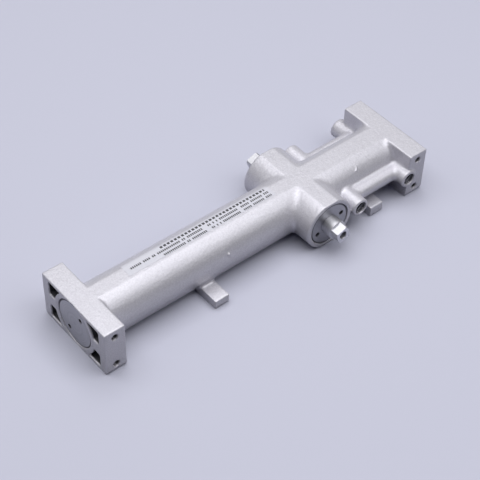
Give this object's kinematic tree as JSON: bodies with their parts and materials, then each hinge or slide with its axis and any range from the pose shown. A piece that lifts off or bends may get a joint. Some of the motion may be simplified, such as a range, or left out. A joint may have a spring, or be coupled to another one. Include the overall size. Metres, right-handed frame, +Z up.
{
  "type": "hydraulic hinge closer",
  "caption": "Slim hydraulic door closer body with a double-ended squared spindle, rack piston, closing spring, adjusting valves and two tapped mounting flanges.",
  "frame": {"origin": "middle of the body on the surface that it lies on", "axes": "+X along the body towards the valve end, +Y away from the adjusting screws along the spindle, +Z up"},
  "size_m": [0.244, 0.084, 0.0331],
  "materials": {
    "cast_body": "fine grained silver casting",
    "machined_aluminium": "turned",
    "machined_steel": "machined",
    "bright_steel": "polished",
    "spindle_steel": "ground",
    "spring_steel": "oiled",
    "valve_steel": "zinc plated",
    "seal_rubber": "matte",
    "label_film": "satin film"
  },
  "bodies": {
    "root": {"housing": "cast_body", "spring_end_plug": "machined_aluminium", "cylinder_end_plug": "machined_aluminium", "spring_end_plug_ring": "seal_rubber", "cylinder_end_plug_ring": "seal_rubber", "near_cap_ring": "seal_rubber", "far_cap_ring": "seal_rubber", "near_shaft_seal": "seal_rubber", "far_shaft_seal": "seal_rubber", "closing_valve_ring": "seal_rubber", "latching_valve_ring": "seal_rubber", "closing_side_blanking_ring": "seal_rubber", "latching_side_blanking_ring": "seal_rubber", "near_bearing_cap": "machined_aluminium", "far_bearing_cap": "machined_aluminium", "spring_seat_washer": "machined_steel", "near_thrust_washer": "machined_steel", "far_thrust_washer": "machined_steel", "near_bearing_shell": "machined_steel", "far_bearing_shell": "machined_steel", "closing_side_blanking_screw": "machined_steel", "latching_side_blanking_screw": "machined_steel", "near_channel_seal_ball": "bright_steel", "far_channel_seal_ball": "bright_steel", "closing_spring": "spring_steel", "information_label": "label_film"},
    "spindle": {"pinion_spindle": "spindle_steel"},
    "piston": {"rack_piston": "machined_steel", "piston_seal_ring": "seal_rubber", "check_valve_retainer": "machined_steel"},
    "check_ball": {"check_valve_ball": "bright_steel"},
    "near_bearing": {"near_needle_rollers": "bright_steel", "near_roller_cage": "machined_steel"},
    "far_bearing": {"far_needle_rollers": "bright_steel", "far_roller_cage": "machined_steel"},
    "closing_valve": {"closing_speed_valve": "valve_steel"},
    "latching_valve": {"latching_speed_valve": "valve_steel"}
  },
  "joints": [
    {"name": "spindle_turn", "type": "hinge", "parent": "root", "child": "spindle", "pos_m": [0.0425, 0, 0.0165], "axis": [0, 1, 0], "range_deg": [0, 180]},
    {"name": "piston_slide", "type": "slide", "parent": "root", "child": "piston", "axis": [-1, 0, 0], "range_m": [0, 0.0216], "stiffness_N_per_m": 40200, "deforming": ["closing_spring"]},
    {"name": "check_ball_lift", "type": "slide", "parent": "piston", "child": "check_ball", "axis": [1, 0, 0], "range_m": [0, 0.001]},
    {"name": "near_bearing_roll", "type": "hinge", "parent": "root", "child": "near_bearing", "pos_m": [0.0425, 0, 0.0165], "axis": [0, 1, 0], "range_deg": [0, 80.1]},
    {"name": "far_bearing_roll", "type": "hinge", "parent": "root", "child": "far_bearing", "pos_m": [0.0425, 0, 0.0165], "axis": [0, 1, 0], "range_deg": [0, 80.1]},
    {"name": "closing_valve_turn", "type": "hinge", "parent": "root", "child": "closing_valve", "pos_m": [0.0666, 0, 0.0165], "axis": [0, 1, 0], "range_deg": [-360, 360]},
    {"name": "latching_valve_turn", "type": "hinge", "parent": "root", "child": "latching_valve", "pos_m": [0.1078, 0, 0.0165], "axis": [0, 1, 0], "range_deg": [-360, 360]}
  ],
  "couplings": [
    {"joint": "spindle_turn", "follows": "piston_slide", "rad_per_m": 145.45},
    {"joint": "near_bearing_roll", "follows": "piston_slide", "rad_per_m": 64.646},
    {"joint": "far_bearing_roll", "follows": "piston_slide", "rad_per_m": 64.646}
  ]
}
